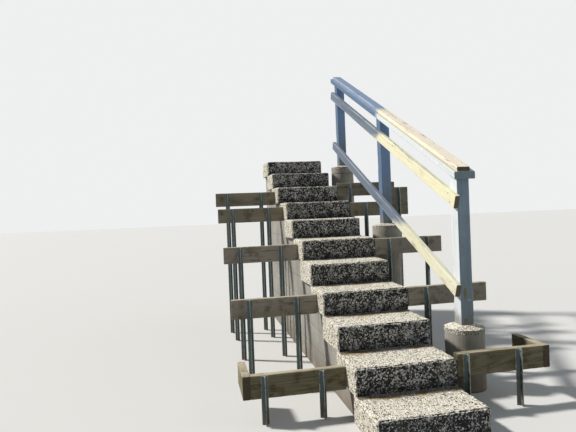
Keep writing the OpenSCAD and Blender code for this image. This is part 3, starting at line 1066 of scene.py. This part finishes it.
# a length of timber that fills the local box of a CAD node, its length along the first axis
def beam(name, node, axes, finish, seed, cracks, raked=0.0, shear=0.0):
    look = beamShape
    basis = Matrix(axes).transposed()
    co = cornersOf(node) @ np.array(basis)
    low, high = Vector(co.min(0)), Vector(co.max(0))
    size = high - low
    loop = section(size.y, size.z, timberSlots[finish] == "sawn_pine", cracks)
    endRound = look["endRound"]
    stations = marks(size.x, look["ringGrid"], (0.0, endRound * 0.4, endRound, 0.006, 0.016))
    points, faces, arrisOf, endOf = [], [], [], []
    middle = Vector((size.y / 2, size.z / 2))

    def addPoint(x, flat, arris, isEnd):
        whole = size.x - raked * (size.z - flat.y) - shear * size.z
        x = x * whole / size.x + shear * flat.y
        points.append(basis @ (low + Vector((x, flat.x, flat.y))))
        arrisOf.append(arris)
        endOf.append(isEnd)
        return len(points) - 1

    def addRing(x):
        ring = []
        fromEnd = min(x, size.x - x)
        inset = endRound - min(fromEnd, endRound)
        shrink = max(0.0, endRound - math.sqrt(max(0.0, endRound ** 2 - inset ** 2)))
        for spot, out, arris, weight, number, run in loop:
            flat = spot.copy()
            here = (x, flat.x, flat.y)
            depth = look["wave"] * (0.5 + 0.5 * rough(here, 7, seed)) + shrink * (1 - 0.3 * arris)
            if arris == 1.0:
                depth += max(0.0, rough(here, 16, seed + 5) - 0.28) * look["chip"] * look["chipGain"]
                depth += max(0.0, 1 - fromEnd / look["endWear"][0]) * look["endWear"][1]
            if number is not None:
                crack = cracks[number]
                near = x if crack["end"] == 0 else size.x - x
                opening = max(0.0, 1 - near / crack["length"])
                flat += run * look["crackStray"] * rough((x * 14, number, seed), 1)
                depth += weight * crack["depth"] * opening ** 0.7
            flat -= out * depth
            ring.append(addPoint(x, flat, arris, 1.0 if fromEnd < 1e-9 else 0.0))
        return ring

    rings = [addRing(x) for x in stations]
    for first, second in zip(rings, rings[1:]):
        faces += bridge(first, second)
    for endAt, ring in ((0, rings[0]), (1, rings[-1])):
        outer = ring
        for t in (0.8, 0.55, 0.28):
            inner = []
            for spot, out, arris, weight, number, run in loop:
                flat = middle + (spot - out * endRound - middle) * t
                sunk = look["endSunk"] * (1 + rough((flat.x, flat.y, seed + endAt), 60))
                if number is not None and cracks[number]["end"] == endAt:
                    sunk += weight * cracks[number]["depth"] * 0.9 * t
                inner.append(addPoint(sunk if endAt == 0 else size.x - sunk, flat, 0.0, 1.0))
            faces += bridge(outer, inner)
            outer = inner
        sunk = look["endSunk"] * 2
        centre = addPoint(sunk if endAt == 0 else size.x - sunk, middle, 0.0, 1.0)
        faces += fan(outer, centre)
    mesh = closedMesh(points, faces, finishes[finish], 42, {"arris": arrisOf, "endGrain": endOf})
    return addPiece(name, mesh, timberSlots[finish], [node])


# drying cracks at random places; the draws are in the order of crackKeys
def cracksFor(seed, count, longest, deepest):
    rng = random.Random(seed)
    return [{"side": rng.randrange(4), "at": rng.uniform(0.3, 0.7), "end": rng.randrange(2),
             "length": rng.uniform(0.35, 1.0) * longest, "depth": rng.uniform(0.4, 1.0) * deepest}
            for _ in range(count)]


slopeAxes, uprightAxes, acrossAxes, backAxes = (
    (upSlope, right, squareToSlope), (up, right, back), (right, back, up), (back, right, up))
plumbCut, sideCut = math.tan(railPitch), math.tan(railPitch - flight["sideLean"])
# name, node, finish, cut of the ends, cracks in the order of crackKeys
rails = [
    ("top_board", "handrail_board", "board", plumbCut, [(3, 0.45, 0, 0.30, 0.006)]),
    ("top_cap", "handrail_cap", "cap", plumbCut,
     [(2, 0.38, 0, 0.42, 0.006), (2, 0.66, 1, 0.5, 0.006), (3, 0.5, 0, 0.2, 0.004)]),
    ("side_rail_middle", "mid_rail", "sideRail", sideCut,
     [(3, 0.62, 0, 0.35, 0.006), (3, 0.35, 1, 0.5, 0.006)]),
    ("side_rail_low", "lower_rail", "lowRail", sideCut, [(3, 0.40, 0, 0.5, 0.007), (3, 0.70, 1, 0.4, 0.006)]),
]
for seed, (name, node, finish, shear, cracks) in enumerate(rails, 1):
    beam(name, node, slopeAxes, finish, seed, [dict(zip(crackKeys, c)) for c in cracks], shear=shear)
for number in range(1, flight["posts"] + 1):
    beam(f"rail_post_{number}", f"post_{number}", uprightAxes, "post", 10 + number,
         cracksFor(50 + number, 3, 0.6, 0.006), raked=plumbCut)
boards = sorted(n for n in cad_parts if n.startswith("edging_"))
for seed, node in enumerate(boards):
    beam(node.replace("edging", "edging_board"), node, acrossAxes, "sawnAcross", 20 + seed,
         cracksFor(100 + seed, 3, 0.25, 0.009))
for seed, side in enumerate(("left", "right")):
    beam(f"return_board_{side}", f"return_{side}", backAxes, "sawnBack", 60 + seed,
         cracksFor(140 + seed, 2, 0.15, 0.009))
print("timber cut:", len(rails) + flight["posts"] + len(boards) + 2, "pieces")


# stakes of three wings, their stem pierced by a row of holes
stakeShape = {"wing": 0.023, "stem": 0.026, "wall": 0.004, "splay": math.radians(30),
              "holeRadius": 0.0034, "holePitch": 0.060, "firstHole": 0.035}


def stakeMesh(spots):
    look = stakeShape
    hub, half = look["wing"] * math.sin(look["splay"]), look["wall"] / 2
    tan, cos = math.tan(look["splay"]), math.cos(look["splay"])
    under, over = -hub - half / cos, -hub + half / cos  # where a wing's two sides cross the middle
    inner, tipY = under + half * tan, -hub - look["stem"]
    wingUnder, wingTop = under + look["wing"] * tan, -over / tan
    rightSide = [(half, tipY), (half, inner), (look["wing"], wingUnder), (look["wing"], 0.0), (wingTop, 0.0)]
    outline = rightSide + [(0.0, over)] + [(-x, y) for x, y in reversed(rightSide)]
    edgy = [1.0, 0.0, 1.0, 1.0, 1.0, 0.0, 1.0, 1.0, 1.0, 0.0, 1.0]  # 0 in the inner corners
    count = len(outline)
    points, faces, arrisOf, tipOf = [], [], [], []
    turns = [math.radians(22.5 + 45 * o) for o in range(8)]
    octagon = [(math.cos(t) * look["holeRadius"], math.sin(t) * look["holeRadius"]) for t in turns]
    holeY = (tipY + inner) / 2

    def add(x, y, z, arris, tip):
        points.append(Vector((x, y, z)))
        arrisOf.append(arris)
        tipOf.append(tip)
        return len(points) - 1

    for spotX, spotY, height in spots:
        cells = max(1, round((height - look["firstHole"]) / look["holePitch"]))
        levels = [height - look["firstHole"] - look["holePitch"] * (c - 0.5) for c in range(cells)]
        levels = [height] + [v for v in levels if v > 0.02] + [0.0]
        rings = [[add(spotX + x, spotY + y, z, e, 1.0 if z == height else 0.0)
                  for (x, y), e in zip(outline, edgy)] for z in levels]
        for level, (first, second) in enumerate(zip(rings, rings[1:])):
            top, low = levels[level], levels[level + 1]
            pierced = 0 < level and top - low > look["holePitch"] * 0.8
            for a in range(count):
                b = (a + 1) % count
                if not (pierced and a in (0, count - 2)):
                    faces.append((first[a], first[b], second[b], second[a]))
            if pierced:
                rims = []
                y, z = spotY + holeY, (top + low) / 2
                for front, rear, x in ((0, 1, half), (count - 1, count - 2, -half)):
                    rim = [add(spotX + x, y + u, z + v, 1.0, 0.0) for u, v in octagon]
                    corners = [second[front], second[rear], first[rear], first[front]]
                    faces += [(corners[c], corners[c - 3], rim[2 * c - 2], rim[2 * c - 3]) for c in range(4)]
                    faces += [(corners[c], rim[2 * c - 3], rim[2 * c - 4]) for c in (1, 2, 3, 0)]
                    rims.append(rim)
                faces += bridge(*rims)
        faces += [tuple(rings[0]), tuple(rings[-1])]
    return closedMesh(points, faces, finishes["stake"], 25, {"arris": arrisOf, "tip": tipOf})


# middle, back and height of each stake in a node
def stakeSpots(node):
    shape = bmesh.new()
    shape.from_mesh(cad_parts[node].data)
    bmesh.ops.remove_doubles(shape, verts=shape.verts, dist=0.00002)
    spots, left = [], set(shape.verts)
    while left:
        island, queue = set(), [left.pop()]
        while queue:
            v = queue.pop()
            island.add(v)
            for other in (e.other_vert(v) for e in v.link_edges):
                if other in left:
                    left.discard(other)
                    queue.append(other)
        xs = [v.co.x for v in island]
        spots.append(((min(xs) + max(xs)) / 2, max(v.co.y for v in island), max(v.co.z for v in island)))
    shape.free()
    return sorted(spots)


for node in sorted(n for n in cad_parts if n.startswith("stakes_")):
    addPiece(node.replace("stakes", "steel_stakes"), stakeMesh(stakeSpots(node)), "stake_steel", [node])
print("stakes driven")


# nails
nailShape = {"Radius": 0.0042, "Depth": 0.0022}
nailPlaces = {
    "sunk": 0.0006,
    "railSpread": 0.026,       # half the distance between the two nails in a rail
    "railStagger": 0.012,
    "capCount": 8,
    "capEnd": 0.07,
    "capSpread": 0.027,
    "capStagger": 0.02,
    "returnSunk": 0.0012,
    "returnIn": 0.024,
    "returnEdge": 0.035,
}


def nailTree():
    t = Growth("nail_heads_on_timber", nailShape)
    facing = t.add("GeometryNodeInputNamedAttribute", {"data_type": "FLOAT_VECTOR"}, {"Name": "facing"})
    turn = t.add("FunctionNodeAlignRotationToVector", {"axis": "Z"}, {"Vector": facing})
    head = t.add("GeometryNodeMeshCylinder", {"fill_type": "NGON"}, {
        "Vertices": 12, "Radius": t.size("Radius"), "Depth": t.size("Depth")})
    t.end(t.add("GeometryNodeInstanceOnPoints", {}, {
        "Points": t.size("Geometry"), "Instance": head, "Rotation": turn}), smooth=False)
    return t


# place and direction of each head: rails on posts, cap on board, return boards on edging boards
def nailSpots():
    at, spots = nailPlaces, []
    for rail in ("mid_rail", "lower_rail"):
        co = cornersOf(rail)
        across = co @ np.array(squareToSlope)
        middle = (across.min() + across.max()) / 2
        for number in range(1, flight["posts"] + 1):
            low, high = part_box(f"post_{number}")
            y = (low.y + high.y) / 2
            for side in (-1, 1):
                z = (middle + side * at["railSpread"] - y * squareToSlope.y) / squareToSlope.z
                shift = upSlope * (at["railStagger"] * side)
                spots.append((Vector((co[:, 0].min() + at["sunk"], y, z)) + shift, -right))
    co = cornersOf("handrail_cap")
    alongMin, alongMax = (co @ np.array(upSlope)).min(), (co @ np.array(upSlope)).max()
    onTop = squareToSlope * ((co @ np.array(squareToSlope)).max() - at["sunk"])
    low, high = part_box("handrail_cap")
    for k in range(at["capCount"]):
        along = alongMin + at["capEnd"] + (alongMax - alongMin - 2 * at["capEnd"]) * k / (at["capCount"] - 1)
        for side in (-1, 1):
            x = (low.x + high.x) / 2 + side * at["capSpread"]
            shift = upSlope * (along + at["capStagger"] * side)
            spots.append((Vector((x, 0, 0)) + shift + onTop, squareToSlope))
    for side in (-1, 1):
        low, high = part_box("return_right" if side == 1 else "return_left")
        face = high.x - at["returnSunk"] if side == 1 else low.x + at["returnSunk"]
        for z in (low.z + at["returnEdge"], high.z - at["returnEdge"]):
            spots.append((Vector((face, low.y + at["returnIn"], z)), right * side))
    return spots


spots = nailSpots()
holder = bpy.data.meshes.new("nail_places")
holder.from_pydata([tuple(s) for s, _ in spots], [], [])
addAttribute(holder, "facing", "FLOAT_VECTOR", "POINT", [c for _, out in spots for c in out])
places = newObject("nail_places", holder)
nails = nailTree().grow(places, {**nailShape, "Finish": finishes["nail"]})
bpy.data.objects.remove(places)
addPiece("nail_heads", nails, "stake_steel")
print("nails:", len(spots))


# studio; the camera stands where the photograph was taken
studio = {
    "floorHalf": 60,
    "floorPale": (0.60, 0.595, 0.58),      # as the camera sees it
    "floorBounce": (0.26, 0.25, 0.24),     # as it lights the object
    "backdrop": (0.86, 0.865, 0.87),
    "sky": (0.85, 0.93, 1.0),
    "skyStrength": 0.25,
    "key": {"towards": (-0.66, 0.30, 0.70), "strength": 4.4, "spread": 5, "colour": (1.0, 0.975, 0.93)},
    "fill": {"towards": (0.92, -0.22, 0.42), "strength": 0.55, "spread": 70, "colour": (0.86, 0.93, 1.0)},
    "focal": 491.26,       # in pixels of the photograph
    "photoWidth": 576,
    "sensor": 36,
    "clip": (0.05, 200),
    "eye": (-1.2961, -2.5456, 1.3491),
    "pitch": -0.0102,
    "roll": 0.0387,
    "yaw": -0.192,
}


def makeFloor():
    mesh, half = bpy.data.meshes.new("floor"), studio["floorHalf"]
    corners = [(-half, -half, 0), (half, -half, 0), (half, half, 0), (-half, half, 0)]
    mesh.from_pydata(corners, [], [(0, 1, 2, 3)])
    f = Finish("studio_floor")
    f.give(Base_Color=f.mix(f.seenDirectly(), studio["floorBounce"], studio["floorPale"]), Roughness=0.9)
    mesh.materials.append(f.material)
    floor = newObject("floor", mesh)
    floor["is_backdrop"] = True


def makeWorld():
    world = bpy.data.worlds.new("studio")
    world.use_nodes = True
    bpy.context.scene.world = world
    t = Tree(world.node_tree)
    seen = t.seenDirectly()
    colour = t.mix(seen, studio["sky"], studio["backdrop"])
    strength = seen * (1 - studio["skyStrength"]) + studio["skyStrength"]
    background = world.node_tree.nodes["Background"]
    world.node_tree.links.new(colour.socket, background.inputs["Color"])
    world.node_tree.links.new(strength.socket, background.inputs["Strength"])


def makeLamp(name):
    look = studio[name]
    lamp = bpy.data.lights.new(name, "SUN")
    lamp.energy, lamp.color, lamp.angle = look["strength"], look["colour"], math.radians(look["spread"])
    newObject(name, lamp).rotation_euler = Vector(look["towards"]).to_track_quat("Z", "Y").to_euler()


def makeCamera():
    lens = bpy.data.cameras.new("camera")
    lens.lens, lens.sensor_width = studio["focal"] / studio["photoWidth"] * studio["sensor"], studio["sensor"]
    lens.clip_start, lens.clip_end = studio["clip"]
    cos, sin = math.cos(studio["roll"]), math.sin(studio["roll"])
    tilt = Matrix(((cos, 0, sin), (0, 1, 0), (-sin, 0, cos)))
    turn = Matrix.Rotation(studio["yaw"], 3, "Z") @ Matrix.Rotation(studio["pitch"], 3, "X") @ tilt
    look = Matrix((turn.col[0], turn.col[2], -turn.col[1])).transposed()
    camera = newObject("camera", lens)
    camera.matrix_world = Matrix.Translation(studio["eye"]) @ look.to_4x4()
    bpy.context.scene.camera = camera


makeFloor()
makeWorld()
makeLamp("key")
makeLamp("fill")
makeCamera()
bpy.context.scene.view_settings.view_transform = "Standard"
bpy.context.view_layer.update()
faceCount = sum(len(p.data.polygons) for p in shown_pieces())
print("studio ready; faces on show:", faceCount)

boxes = {"cad": cadBox, "visual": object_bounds()}
{k: [list(corner) for corner in box] for k, box in boxes.items()}
